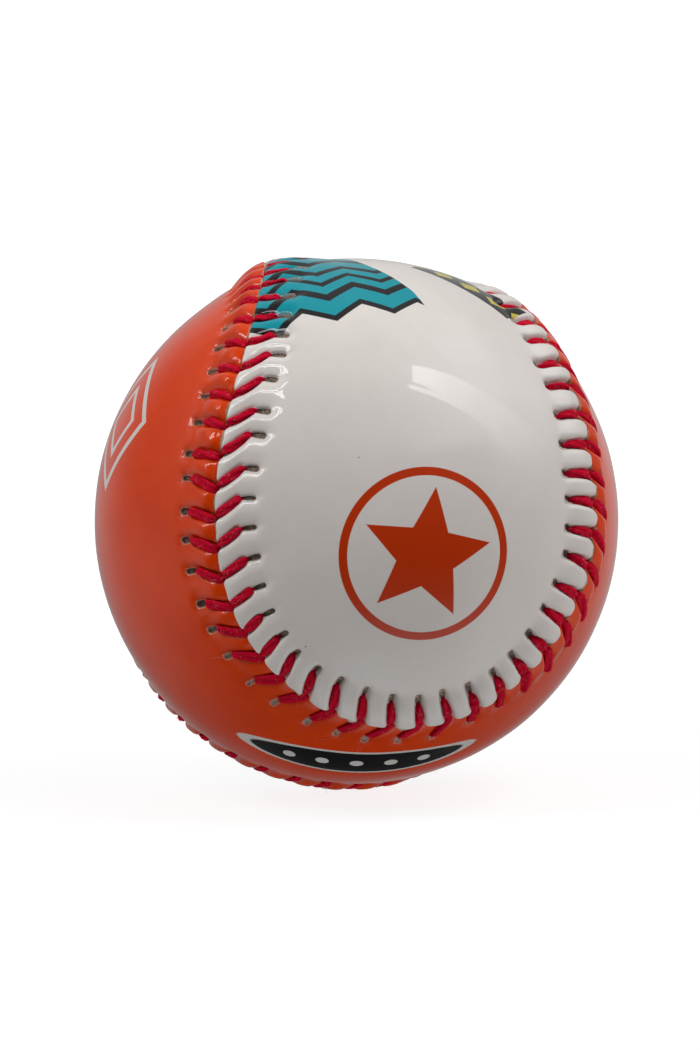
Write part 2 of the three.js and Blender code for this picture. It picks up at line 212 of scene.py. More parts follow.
def lean(x):
    """Share of a leg's slant reached at x, which is 0 at the seam and 1 at the slit."""
    return np.where(x <= 1, 0.92 * x, 0.92 + 0.08 * (1 - np.exp(-(np.maximum(x, 1) - 1) / 0.087)))


def leg_s(tau, d, side):
    e = seam_off(tau, side)
    x = (d - e) / (slit_end(tau, side) - slit_gap(tau, side) - e)
    return (tau + around(STITCH[:, 0], tau)) * PITCH + slant(tau, side) * lean(np.maximum(x, -0.35))


def strip(tau, d, h, side):
    return on_ball(leg_s(tau, d, side), side * d, R + h)


# ----------------------------------------------------------------------- noise
_LAT = np.random.default_rng(5).random((32, 32, 32)) * 2 - 1


def noise(p, size):
    q = np.asarray(p) / size + 100.0
    i = np.floor(q).astype(int)
    f = q - i
    f = f * f * f * (f * (f * 6 - 15) + 10)
    total = 0
    for a in (0, 1):
        for b in (0, 1):
            for c in (0, 1):
                w = (f[..., 0] if a else 1 - f[..., 0]) * (f[..., 1] if b else 1 - f[..., 1]) * (f[..., 2] if c else 1 - f[..., 2])
                total = total + w * _LAT[(i[..., 0] + a) % 32, (i[..., 1] + b) % 32, (i[..., 2] + c) % 32]
    return total


# ------------------------------------------------------------- surface of cover
def ridge(x, tau, side):
    """Top of the fingers at x from the line where the covers meet."""
    foot = FOOT_H * (0.5 + 0.5 * np.cos(math.pi * np.clip(x / FOOT_W, 0, 1)))
    return foot + (around(CREST[side], tau) - FOOT_H) * (1 - smooth(around(FALL[side][0], tau), around(FALL[side][1], tau), x))


def groove(d, e, D, gap, tau, side):
    """Depth of the groove that a thread leg lies in, ending in the slit."""
    level, deep = around(LEVEL[side], tau), around(DEEP[side], tau)
    g = np.clip(ridge(d - e, tau, side) - 0.12 + deep + around(SINK[side], tau) * (1 - level) * smooth(D - 2.4, D - 0.6, d), 0, 0.94 + deep)
    return g * (1 - 0.45 * level) * (1 - smooth(D - 0.6 - level * (gap + 0.7), D + 0.9 - level * (gap + 0.1), d))


def hollow(q, d, e, D, gap, w, tau, side):
    """How far a level finger falls from its top to a thread leg and its slit."""
    away = np.hypot(q, np.maximum(d - (D - w), 0)) - w
    reach = 1.56 - 0.33 * smooth(-0.5, 0.5, q) + 0.33 * smooth(0.5, -0.5, q)
    dome = np.clip(1 - np.maximum(away, 0) / reach, 0, 1) ** 1.7 * smooth(0.1, 1.6, d - e)
    near = 1 - smooth(-0.1, 0.35, slit_sdf(q, d, D, gap, w))
    return around(LEVEL[side], tau) * (DOME * dome + BOWL * near)


def slit_sdf(q, d, D, gap, w):
    """Distance to the outline of the slit, round at its far end and closing to the seam."""
    wide = w * (0.50 + 0.50 * smooth(D - gap - 0.2, D - 0.45 * gap, d))
    u = np.clip(d, np.minimum(D - gap + 0.2, D - w), D - w)
    return np.hypot(q, d - u) - wide


def surface(tau, rho, side):
    """(d, height, slit mask, rim mask, groove mask) of the cover's outer skin."""
    e, D, gap = seam_off(tau, side), slit_end(tau, side), slit_gap(tau, side)
    k = 1 - smooth(6.8, 10.2, rho)
    slope = slant(tau, side) / (D - gap - e)
    amp = around(JIT_F[side], tau - 0.5)

    def across(d):
        c = 1 / np.sqrt(1 + slope ** 2)
        c = c + (1 - c) * smooth(D - gap - 0.3, D - gap + 0.6, d)
        return (tau - np.round(tau)) * PITCH * c, PITCH / 2 * c

    # the cut edge: finger ends with round corners, drawn back where thread dives
    q, half = across(e)
    x = np.clip((half - np.abs(q)) / (half - 0.26), 0, 1)
    turn = around(ROUND, tau)
    back = (side * around(JIT_E, tau - 0.5) + 0.9 * around(LINING[-side], tau - 0.5)) * (1 - x) + turn * (1 - (1 - x ** (3.8 - 2.2 * turn)) ** 0.5)
    back = back + side * around(SKEW, tau) * smooth(0.10, 0.84, x) * smooth(-0.12, 0.12, -q)
    d = rho * (1 + ((D - e) / 6.0 - 1) * k) + e * k + back * (1 - smooth(0.0, 3.6, rho))
    q, half = across(d)
    x = d - e
    w = 0.46 + 0.10 * smooth(0.4, 2.0, x) + around(TAPER[side], tau) * (1 - smooth(0.2, 3.4, x))
    flat = around(FLAT[side], tau)
    f = (1 - np.clip((half - np.abs(q)) / (half - w), 0, 1) ** (flat - 0.36 * flat * smooth(D - 2.6, D - 0.6, d))) ** (0.56 + 0.16 * smooth(4.4, 2.3, flat))
    g = groove(d, e, D, gap, tau, side) * (1 + 0.05 * amp)
    lift = side * 0.09 * around(OVER, tau) * (1 - smooth(0.0, 2.5, x)) + 0.05 * amp * (1 - smooth(3.0, 6.0, x))
    h = ridge(x, tau, side) + lift - g * (1 - f) - around(ROLL[side], tau) * f * (1 - smooth(-0.1, 1.5, x))
    t = smooth(D - 0.75, D + 0.62, d)
    ws = SLIT_W * around(JIT_H[side] * WIDE * SLIM[side], tau)
    curl = around(CURL[side], tau)
    sdf = slit_sdf(q - curl * smooth(D - 0.9 * gap, D - 0.1, d), d, D, gap, ws) + 0.55 * curl * smooth(D - 0.8 * gap, D, d)
    pit = 1 - smooth(-0.12, 0.04, sdf)
    rim = np.exp(-(((sdf - 0.01) / 0.06) ** 2))
    h = h - hollow(q, d, e, D, gap, ws, tau, side) + 0.03 * np.exp(-(((sdf - 0.14) / 0.12) ** 2)) - (0.46 - 0.28 * around(FULL[side], tau)) * pit
    edge_r = 0.24
    r = np.clip(edge_r - rho, 0, edge_r)
    h = h - (edge_r - np.sqrt(np.maximum(edge_r ** 2 - r ** 2, 0)))
    return d, h, pit, rim, np.clip(1 - f, 0, 1) * (1 - t)


def under(d):
    return -0.80 - 0.40 * smooth(6.4, 9.4, d)


# ------------------------------------------------------------------ mesh helpers
def make_mesh(name, verts, faces, attrs=None, uv=None):
    """faces: list of integer arrays of shape (n, 3) or (n, 4)."""
    mesh = bpy.data.meshes.new(name)
    counts = np.concatenate([np.full(len(f), f.shape[1]) for f in faces])
    loops = np.concatenate([f.ravel() for f in faces]).astype(np.int32)
    mesh.vertices.add(len(verts))
    mesh.vertices.foreach_set("co", out(verts).astype(np.float32).ravel())
    mesh.loops.add(len(loops))
    mesh.loops.foreach_set("vertex_index", loops)
    mesh.polygons.add(len(counts))
    starts = np.concatenate([[0], np.cumsum(counts)[:-1]]).astype(np.int32)
    mesh.polygons.foreach_set("loop_start", starts)
    mesh.polygons.foreach_set("loop_total", counts.astype(np.int32))
    mesh.polygons.foreach_set("use_smooth", np.ones(len(counts), bool))
    for key, values in (attrs or {}).items():
        mesh.attributes.new(key, "FLOAT", "POINT").data.foreach_set("value", np.asarray(values, np.float32))
    if uv is not None:
        layer = mesh.uv_layers.new(name="strand")
        layer.data.foreach_set("uv", np.concatenate([u.reshape(-1, 2) for u in uv]).astype(np.float32).ravel())
    mesh.update(calc_edges=True)
    mesh.validate()
    ob = bpy.data.objects.new(name, mesh)
    bpy.context.scene.collection.objects.link(ob)
    return ob


def ring_quads(a, b, flip):
    """Quads between two closed rings of equal length."""
    a2, b2 = np.roll(a, -1), np.roll(b, -1)
    q = np.stack([a, a2, b2, b], 1)
    return q[:, ::-1] if flip else q


def ring_halve(a, b, flip):
    """Triangles from a ring to one of half its length."""
    n = len(b)
    a0, a1, a2 = a[0::2], a[1::2], np.roll(a, -2)[0::2]
    b1 = np.roll(b, -1)
    t = np.concatenate([np.stack([a0, a1, b], 1), np.stack([a1, b1, b], 1), np.stack([a1, a2, b1], 1)])
    return t[:, ::-1] if flip else t


# ----------------------------------------------------------------- cover panels
COLS = np.array([-1.74, -1.40, -1.08, -0.82, -0.64, -0.50, -0.39, -0.28, -0.15, 0.0,
                 0.15, 0.28, 0.39, 0.50, 0.64, 0.82, 1.08, 1.40, 1.74, PITCH / 2])
ROWS = np.array([0.0, 0.035, 0.10, 0.20, 0.34, 0.52, 0.78, 1.10, 1.50, 1.95, 2.4, 2.85, 3.25, 3.6, 3.82,
                 3.98, 4.12, 4.27, 4.45, 4.65, 4.85, 5.05, 5.25, 5.42, 5.56, 5.68, 5.79, 5.90, 6.0, 6.1,
                 6.22, 6.38, 6.6, 6.95, 7.4, 7.95, 8.6, 9.3])
CROSS = 28


def build_panel(name, side):
    n = len(COLS)
    tau_fine = (np.arange(STITCHES)[:, None] + COLS[None, :] / PITCH).ravel()
    tau_even = (np.arange(STITCHES)[:, None] + (np.arange(n)[None, :] - 9) / n).ravel()
    verts, slit, ring_of, crease, cut, dist, yarn = [], [], [], [], [], [], []
    faces = []
    total = 0
    flip = side < 0

    def add(p, pit=0.0, dip=0.0, edge=0.0, d=20.0, rim=0.0, full=0.0):
        nonlocal total
        verts.append(p)
        k = len(p)
        for store, v in ((slit, pit), (crease, dip), (cut, edge), (dist, d), (ring_of, rim), (yarn, full)):
            store.append(np.broadcast_to(np.asarray(v, float), (k,)).copy())
        ids = np.arange(total, total + k)
        total += k
        return ids

    def skin_row(rho, step=1):
        w = smooth(6.8, 9.3, np.array(rho))
        tau = (tau_fine * (1 - w) + tau_even * w)[::step]
        d, h, pit, rim, dip = surface(tau, np.full(tau.shape, rho), side)
        p = strip(tau, d, h, side)
        fade = 1 - smooth(0.0, 0.5, np.array(0.5 - rho)) if rho < 0.5 else 1.0
        wob = 0.035 * noise(p, 7.0) + 0.010 * noise(p + 50, 3.1) * smooth(0.2, 1.2, np.array(rho))
        along = np.stack([leg_s(tau, d, side), 0.42 * d, np.full(tau.shape, 3.0)], -1)
        wob = wob + around(PUCKER[side], tau) * noise(along, 1.15) * smooth(0.1, 0.7, np.array(rho)) * (1 - smooth(4.8, 7.0, np.array(rho)))
        p = p * (1 + wob * fade / R)[:, None]
        D, gap = slit_end(tau, side), slit_gap(tau, side)
        # yarn: how full of yarn the slit is, rising from the thread toward the slit's far end; the cover material
        # paints the low end near-black as shade in the hole
        full = around(FULL[side], np.round(tau)) * (0.25 + 0.95 * smooth(D - gap + 0.1, D - 0.3 * gap, d))
        # dip, the groove mask, goes into crease, where the cover material paints shade
        return add(p, pit, dip, 1.0 if rho < 0.02 else (0.5 if rho < 0.05 else 0.0), d, rim, full)

    rows = [skin_row(r) for r in ROWS]
    for a, b in zip(rows, rows[1:]):
        faces.append(ring_quads(a, b, flip))
    half = skin_row(9.9, 2)
    faces.append(ring_halve(rows[-1], half, flip))
    quarter = skin_row(10.6, 4)
    faces.append(ring_halve(half, quarter, flip))

    # cut wall and the underside near the edge
    d_edge = surface(tau_fine, np.zeros_like(tau_fine), side)[0]
    h_edge = np.linalg.norm(verts[0], axis=1) - R
    low = [rows[0]]
    show = around(LINING[side], tau_fine - 0.5) * (0.75 + 0.5 * noise(verts[0], 0.5))
    # the cut wall carries 0.3 in crease, so the cover material darkens it with painted shade
    for f, past in ((0.015, 0.55), (0.035, 1.0), (0.13, 1.06), (0.45, 0.9), (1.0, 0.0)):
        h = h_edge * (1 - f) + under(d_edge) * f + 0.22 * show * past * (f < 0.1)
        low.append(add(strip(tau_fine, d_edge - 0.05 * f - show * past, h, side), 0, 0.3, 1.0, d_edge))
    for a, b in zip(low, low[1:]):
        faces.append(ring_quads(a, b, not flip))
    t2, t4 = tau_even[::2], tau_even[::4]
    in2 = add(strip(t2, np.full(t2.shape, 1.6), under(np.full(t2.shape, 1.6)), side), 0, 0, 1, 1.6)
    faces.append(ring_halve(low[-1], in2, not flip))
    in4 = add(strip(t4, np.full(t4.shape, 3.2), under(np.full(t4.shape, 3.2)), side), 0, 0, 1, 3.2)
    faces.append(ring_halve(in2, in4, not flip))
    last = in4
    for d in (6.0, 8.0, 10.6):
        nxt = add(strip(t4, np.full(t4.shape, d), under(np.full(t4.shape, d)), side), 0, 0, 1, d)
        faces.append(ring_quads(last, nxt, not flip))
        last = nxt

    # middle of the panel: rows from one side of it to the other
    def fill(ring, radius, cross, turn_over, wob):
        P = unit(np.concatenate(verts)[ring])
        m = len(ring)
        mirror = np.array([-1, 1, 1]) if side > 0 else np.array([1, -1, 1])
        best = min(range(1, m, 2), key=lambda k: np.sum((P * mirror - P[(k - np.arange(m)) % m]) ** 2))
        # of the two ends, start at the first
        a = [(((best + 1) // 2) + k) % m for k in range(m // 2)]
        b = [(((best - 1) // 2) - k) % m for k in range(m // 2)]
        f = (np.arange(1, cross) / cross)[None, :, None]
        pa, pb = P[a][:, None, :], P[b][:, None, :]
        ang = np.arccos(np.clip(np.sum(pa * pb, -1, keepdims=True), -1, 1))
        mid = (np.sin((1 - f) * ang) * pa + np.sin(f * ang) * pb) / np.maximum(np.sin(ang), 1e-9)
        mid = unit(mid)[1:-1]
        pts = mid.reshape(-1, 3) * radius
        if wob:
            line = np.arange(0, SEAM_L, SEAM_L / 1200)
            near = seam_frame(line)[0]
            cosine = unit(pts) @ near.T
            who = cosine.argmax(1)
            away = np.arccos(np.clip(cosine.max(1), -1, 1)) * R
            pts = pts * (1 + ridge(away, line[who] / PITCH, side) / R)[:, None]
            pts = pts * (1 + (0.035 * noise(pts, 7.0) + 0.010 * noise(pts + 50, 3.1)) / R)[:, None]
        ids = add(pts, 0, 0, 0 if wob else 1, 20.0).reshape(len(mid), cross - 1)
        A, B = ring[a], ring[b]
        grid = np.concatenate([A[1:-1, None], ids, B[1:-1, None]], 1)
        quads = np.stack([grid[:-1, :-1], grid[1:, :-1], grid[1:, 1:], grid[:-1, 1:]], -1).reshape(-1, 4)
        tris = []
        h = cross // 2
        for row, ea, eb, rev in ((grid[0], A[0], B[0], False), (grid[-1], A[-1], B[-1], True)):
            t = [(ea, row[j], row[j + 1]) for j in range(h)]
            t += [(eb, row[j], row[j + 1]) for j in range(h, cross)]
            t.append((ea, row[h], eb))
            t = np.array(t)
            tris.append(t[:, ::-1] if rev else t)
        tris = np.concatenate(tris)
        v = np.concatenate(verts)
        c = v[quads[len(quads) // 2]]
        up = np.dot(np.cross(c[1] - c[0], c[2] - c[0]), c[0]) > 0
        want = not turn_over
        faces.append(quads if up == want else quads[:, ::-1])
        faces.append(tris if up == want else tris[:, ::-1])

    fill(quarter, R, CROSS, False, True)
    fill(last, R - 1.2, 12, True, False)
    ob = make_mesh(name, np.concatenate(verts), faces,
                   {"slit": np.concatenate(slit), "rim": np.concatenate(ring_of), "crease": np.concatenate(crease),
                    "cut": np.concatenate(cut), "dist": np.concatenate(dist), "yarn": np.concatenate(yarn)})
    return ob


# ---------------------------------------------------------------------- threads
SIDES = 24
PLY_TURN = 17.0     # length of one full twist of the plies


def leg_points(i, side):
    """Middle line and size of one crossing: up the slit, over, and down the seam."""
    tau = np.array(float(i))
    D, e = float(slit_end(tau, side)), float(seam_off(tau, side))
    w = JIT_W[side][i % STITCHES]
    gap = float(slit_gap(tau, side))
    start = D - gap
    w = w * (1 - 0.35 * float(around(DEEP[side], tau)))
    bold = 1.26 if side < 0 and (i % STITCHES >= 89 or i % STITCHES <= 12) else 1.0
    w = w * bold
    pts = []

    def at(d, h, q, width, thick):
        s = leg_s(tau, np.array(d), side) + q
        pts.append((on_ball(s, np.array(side * d), np.array(R + h)), s, width, thick))

    def floor(d):
        w0 = SLIT_W * float(JIT_H[side][i % STITCHES] * WIDE[i % STITCHES])
        drop = groove(np.array(d), e, D, gap, tau, side) + hollow(np.array(0.0), np.array(d), e, D, gap, w0, tau, side)
        return float(ridge(np.array(d - e), tau, side) - drop)

    pull = -side * 0.30
    flare = 1.0 + (0.26 if side < 0 and 78 <= i % STITCHES <= 88 else 0.0) + 0.9 * float(around(TAPER[side], tau))
    mid = start - 0.45 * (start - e)
    at(D - 0.95, -1.24, 0, 0.95, 0.50)
    at(start + 0.42, floor(start) - 0.84, 0, 0.90, 0.58)
    at(start + 0.16, floor(start) - 0.22, 0, 0.98, 0.74)
    at(start - 0.22, floor(start - 0.2) + 0.27 * bold, 0, 1.20 * w, 0.86 * bold)
    at(mid, floor(mid) + 0.39 * bold, 0.1 * pull, 1.36 * w * (0.5 + 0.5 * flare), 0.90 * bold)
    at(e + 1.15, floor(e + 1.15) + 0.38 * bold, 0.5 * pull, 1.36 * w * flare, 0.90 * bold)
    at(e + 0.42, floor(e + 0.42) + 0.18, 0.85 * pull, 1.20 * flare, 0.82)
    at(e - 0.05, -0.20, pull, 0.90, 0.62)
    at(e - 0.75, -1.14, pull, 0.90, 0.50)
    return pts


STEPS = (3, 3, 4, 5, 6, 4, 4, 3, 4)


def build_strand(name, first):
    ctrl, side = [], first
    for i in range(STITCHES):
        ctrl += leg_points(i, side)
        side = -side
    P = np.array([c[0] for c in ctrl])
    S = np.array([float(c[1]) for c in ctrl])
    W = np.array([[c[2], c[3]] for c in ctrl])
    n = len(P)
    steps = np.array([STEPS[k % len(STEPS)] for k in range(n - 1)])
    idx = np.concatenate([k + np.arange(m) / m for k, m in enumerate(steps)] + [[n - 1.0]])
    k = np.minimum(idx.astype(int), n - 2)
    f = (idx - k)[:, None]

    def spline(V):
        a, b, c, d = V[np.maximum(k - 1, 0)], V[k], V[k + 1], V[np.minimum(k + 2, n - 1)]
        m0, m1 = (c - a) * 0.42, (d - b) * 0.42
        return ((2 * f ** 3 - 3 * f ** 2 + 1) * b + (f ** 3 - 2 * f ** 2 + f) * m0 + (3 * f ** 2 - 2 * f ** 3) * c + (f ** 3 - f ** 2) * m1)

    path = spline(P)
    size = spline(W)
    s = np.interp(idx, np.arange(n), S)
    _, across, _ = seam_frame(s)
    go = unit(np.gradient(path, axis=0))
    wide = unit(across - go * np.sum(across * go, 1, keepdims=True))
    thick = np.cross(go, wide)
    length = np.concatenate([[0], np.cumsum(np.linalg.norm(np.diff(path, axis=0), axis=1))])
    ply = 2 * math.pi * length / PLY_TURN + 0.35 * np.sin(length * 0.37)
    # section: three round plies side by side, turning along the strand
    local = (np.arange(SIDES) + 0.5) / SIDES * 2 * math.pi
    alpha = (local + math.pi / 3) % (2 * math.pi / 3) - math.pi / 3
    c, a = 0.47, 0.55
    rad = c * np.cos(alpha) + np.sqrt(a * a - (c * np.sin(alpha)) ** 2)
    th = local[None, :] + ply[:, None]
    ring = (path[:, None, :]
            + wide[:, None, :] * (0.5 * size[:, :1] * rad[None, :] * np.cos(th))[..., None]
            + thick[:, None, :] * (0.5 * size[:, 1:] * rad[None, :] * np.sin(th))[..., None])
    m = len(path)
    verts = ring.reshape(-1, 3)
    base = np.arange(m)[:, None] * SIDES + np.arange(SIDES)[None, :]
    nxt = np.roll(base, -1, 1)
    quads = np.stack([base[:-1], nxt[:-1], nxt[1:], base[1:]], -1).reshape(-1, 4)
    u0 = np.repeat(length[:-1, None], SIDES, 1)
    u1 = np.repeat(length[1:, None], SIDES, 1)
    v0 = np.repeat((np.arange(SIDES) / SIDES)[None, :], m - 1, 0)
    v1 = v0 + 1.0 / SIDES
    uv = [np.stack([np.stack([u0, v0], -1), np.stack([u0, v1], -1), np.stack([u1, v1], -1), np.stack([u1, v0], -1)], 2)]
    ends = np.array([len(verts), len(verts) + 1])
    verts = np.concatenate([verts, path[[0, -1]]])
    caps = np.concatenate([np.stack([np.full(SIDES, ends[0]), nxt[0], base[0]], 1),
                           np.stack([np.full(SIDES, ends[1]), base[-1], nxt[-1]], 1)])
    uv.append(np.zeros((len(caps), 3, 2)))
    # crease: where the section dips between plies, darkened there as painted shade
    crease = np.tile(np.clip((0.95 - rad) / 0.35, 0, 1), m)
    ob = make_mesh(name, verts, [quads, caps], {"crease": np.concatenate([crease, [0, 0]])}, uv)
    return ob


# ---------------------------------------------------------------- loose fibres
def build_hairs(name, lines, thin):
    """Fine three-sided strands along the given lines of points."""
    verts, faces, total = [], [], 0
    for pts in lines:
        go = unit(np.gradient(pts, axis=0))
        up = unit(pts)
        sideways = unit(np.cross(go, up))
        up = np.cross(sideways, go)
        m = len(pts)
        taper = thin * np.sin(np.linspace(0.25, math.pi - 0.25, m)) ** 0.5
        ang = np.arange(3) * 2 * math.pi / 3
        ring = pts[:, None, :] + taper[:, None, None] * (np.cos(ang)[None, :, None] * sideways[:, None, :] + np.sin(ang)[None, :, None] * up[:, None, :])
        verts.append(ring.reshape(-1, 3))
        base = total + np.arange(m)[:, None] * 3 + np.arange(3)[None, :]
        nxt = np.roll(base, -1, 1)
        quads = np.stack([base[:-1], nxt[:-1], nxt[1:], base[1:]], -1).reshape(-1, 4)
        v = ring.reshape(-1, 3)
        a, b, c = (v[quads[0, k] - total] for k in range(3))
        flip = np.dot(np.cross(b - a, c - a), (a + b + c) / 3 - pts[:2].mean(0)) < 0
        caps = np.array([base[0][::-1], base[-1]])
        faces.append(quads[:, ::-1] if flip else quads)
        faces.append(caps[:, ::-1] if flip else caps)
        total += 3 * m
    return make_mesh(name, np.concatenate(verts), faces)


def fuzz_lines():
    """Short ends of fibre standing off the thread legs."""
    draw = np.random.default_rng(77)
    lines = []
    for i in range(STITCHES):
        for side in (1, -1):
            pts = leg_points(i, side)
            for _ in range(int(draw.integers(4, 10))):
                k = int(draw.integers(3, 6))
                f = draw.random()
                p = pts[k][0] * (1 - f) + pts[k + 1][0] * f
                go = unit(pts[k + 1][0] - pts[k][0])
                up = unit(p)
                cross = np.cross(up, go)
                a = draw.uniform(-1.2, 1.2)
                start = p + 0.46 * (math.cos(a) * up + 1.25 * math.sin(a) * cross)
                lead = unit(draw.normal(0, 1) * go + draw.normal(0, 0.7) * cross + draw.uniform(0.05, 0.5) * up)
                curl = draw.normal(0, 0.9, 3)
                length = draw.uniform(0.25, 0.6) if draw.random() < 0.8 else draw.uniform(0.6, 1.3)
                u = np.linspace(-0.12, 1, 6)[:, None] * length
                lines.append(start + lead * u + np.cross(lead, curl) * u * u * 0.55 - up * u * u * 0.25)
    # lint lying on the cover below the lowest stitches
    for i in (79, 82, 83, 84, 84, 85, 86, 86, 88, 89):
        d0 = float(slit_end(np.array(float(i)), -1)) + draw.uniform(-0.4, 0.8)
        u = np.linspace(0, 1, 12)
        reach, swing, turn = draw.uniform(1.5, 3.4), draw.normal(0, 1.6), draw.uniform(2, 6)
        d = d0 + reach * u
        at = leg_s(np.array(float(i)), np.array(d0), -1) + swing * u + 0.35 * np.sin(turn * u + draw.uniform(0, 6))
        up = ridge(d, np.full(d.shape, float(i)), -1) + 0.04 + 0.10 * np.sin(math.pi * u) * draw.random()
        lines.append(on_ball(at, -d, R + up))
    return lines


# -------------------------------------------------------------------- materials
def material(name):
    m = bpy.data.materials.new(name)
    m.use_nodes = True
    nt = m.node_tree
    nt.nodes.clear()
    bsdf = nt.nodes.new("ShaderNodeBsdfPrincipled")
    outp = nt.nodes.new("ShaderNodeOutputMaterial")
    nt.links.new(bsdf.outputs[0], outp.inputs[0])
    return m, nt, bsdf


class Net:
    """Short ways to add nodes."""

    def __init__(self, nt):
        self.nt = nt

    def put(self, sock, v):
        if isinstance(v, bpy.types.NodeSocket):
            self.nt.links.new(v, sock)
        else:
            sock.default_value = v

    def math(self, op, *args, clamp=False):
        n = self.nt.nodes.new("ShaderNodeMath")
        n.operation, n.use_clamp = op, clamp
        for sock, v in zip(n.inputs, args):
            self.put(sock, v)
        return n.outputs[0]

    def mix(self, fac, a, b, blend="MIX"):
        n = self.nt.nodes.new("ShaderNodeMix")
        n.data_type, n.blend_type = "RGBA", blend
        self.put(n.inputs[0], fac)
        self.put(n.inputs[6], a)
        self.put(n.inputs[7], b)
        return n.outputs[2]

    def attr(self, name):
        n = self.nt.nodes.new("ShaderNodeAttribute")
        n.attribute_name = name
        return n.outputs["Fac"]

    def coords(self, kind="Object"):
        return self.nt.nodes.new("ShaderNodeTexCoord").outputs[kind]

    def noise(self, scale, detail=3.0, rough=0.5, vec=None, dist=0.0):
        n = self.nt.nodes.new("ShaderNodeTexNoise")
        self.put(n.inputs["Vector"], vec if vec is not None else self.coords())
        n.inputs["Scale"].default_value = scale
        n.inputs["Detail"].default_value = detail
        n.inputs["Roughness"].default_value = rough
        n.inputs["Distortion"].default_value = dist
        return n.outputs[0]

    def ramp(self, fac, stops):
        n = self.nt.nodes.new("ShaderNodeValToRGB")
        self.put(n.inputs[0], fac)
        e = n.color_ramp.elements
        while len(e) < len(stops):
            e.new(0.5)
        for el, (pos, col) in zip(e, stops):
            el.position = pos
            el.color = col if len(col) == 4 else (*col, 1)
        return n.outputs[0]

    def step(self, a, b, x):
        n = self.nt.nodes.new("ShaderNodeMapRange")
        n.interpolation_type = "SMOOTHSTEP"
        self.put(n.inputs[0], x)
        n.inputs[1].default_value, n.inputs[2].default_value = a, b
        return n.outputs[0]

    def bump(self, height, strength, distance, normal=None):
        n = self.nt.nodes.new("ShaderNodeBump")
        n.inputs["Strength"].default_value = strength
        n.inputs["Distance"].default_value = distance
        self.put(n.inputs["Height"], height)
        if normal is not None:
            self.put(n.inputs["Normal"], normal)
        return n.outputs[0]


# camera axes in the row frame: right +X, up leaned back by the elevation
EL = math.radians(8.0)
CAM_R = np.array([1, 0, 0.0])
CAM_U = np.array([0, math.sin(EL), math.cos(EL)])
CAM_B = np.array([0, -math.cos(EL), math.sin(EL)])


def cam_dir(x, y, z):
    return x * CAM_R + y * CAM_U + z * CAM_B


class Patch(Net):
    """Flat coordinates in mm (u, v) on the ball around one direction, for printed shapes."""

    def __init__(self, nt, x, y, z, roll):
        super().__init__(nt)
        c = unit(cam_dir(x, y, z))
        e1 = np.cross(CAM_U if abs(y) < 0.8 else -CAM_B if y > 0 else CAM_B, c)
        e1 = unit(e1)
        e2 = np.cross(c, e1)
        a = math.radians(roll)
        e1, e2 = math.cos(a) * e1 + math.sin(a) * e2, math.cos(a) * e2 - math.sin(a) * e1
        at = self.coords()
        dots = []
        for axis in (e1, e2, c):
            n = nt.nodes.new("ShaderNodeVectorMath")
            n.operation = "DOT_PRODUCT"
            nt.links.new(at, n.inputs[0])
            n.inputs[1].default_value = tuple(float(q) for q in axis)
            dots.append(n.outputs["Value"])
        depth = self.math("MAXIMUM", dots[2], 0.004)
        self.u = self.math("MULTIPLY", self.math("DIVIDE", dots[0], depth), R)
        self.v = self.math("MULTIPLY", self.math("DIVIDE", dots[1], depth), R)
        self.front = self.step(0.010, 0.012, dots[2])

    def under(self, x, edge=0.07):
        """1 where x is below zero."""
        return self.math("MULTIPLY", self.step(edge, -edge, x), self.front)

    def band(self, x, lo, hi):
        mid, half = (lo + hi) / 2, (hi - lo) / 2
        return self.under(self.math("SUBTRACT", self.math("ABSOLUTE", self.math("SUBTRACT", x, mid)), half))

    def both(self, *m):
        out_ = m[0]
        for k in m[1:]:
            out_ = self.math("MULTIPLY", out_, k)
        return out_

    def star(self, points, outer, inner, turned=0.0):
        """Signed distance to a star's outline, inside negative."""
        r = self.math("SQRT", self.math("ADD", self.math("MULTIPLY", self.u, self.u), self.math("MULTIPLY", self.v, self.v)))
        ang = self.math("ADD", self.math("ARCTAN2", self.u, self.v), turned + 20 * math.pi)
        sector = 2 * math.pi / points
        a = self.math("ABSOLUTE", self.math("SUBTRACT", self.math("MODULO", self.math("ADD", ang, sector / 2), sector), sector / 2))
        px, py = self.math("MULTIPLY", r, self.math("COSINE", a)), self.math("MULTIPLY", r, self.math("SINE", a))
        qx, qy = inner * math.cos(sector / 2), inner * math.sin(sector / 2)
        nx, ny = qy, outer - qx
        ln = math.hypot(nx, ny)
        return self.math("ADD", self.math("MULTIPLY", self.math("SUBTRACT", px, outer), nx / ln), self.math("MULTIPLY", py, ny / ln))

    def radius(self, ku=1.0, kv=1.0):
        u, v = self.math("MULTIPLY", self.u, 1 / ku), self.math("MULTIPLY", self.v, 1 / kv)
        return self.math("SQRT", self.math("ADD", self.math("MULTIPLY", u, u), self.math("MULTIPLY", v, v)))

    def zigzag(self, x, period, height):
        f = self.math("PINGPONG", self.math("ADD", x, 40 * period), period / 2)
        return self.math("MULTIPLY", self.math("SUBTRACT", f, period / 4), 4 * height / period)


ORANGE_INK, TEAL_INK, BLACK_INK = (0.62, 0.045, 0.006, 1), (0.0, 0.33, 0.40, 1), (0.010, 0.010, 0.012, 1)
YELLOW_INK, WHITE_INK = (0.62, 0.50, 0.02, 1), (0.80, 0.76, 0.73, 1)


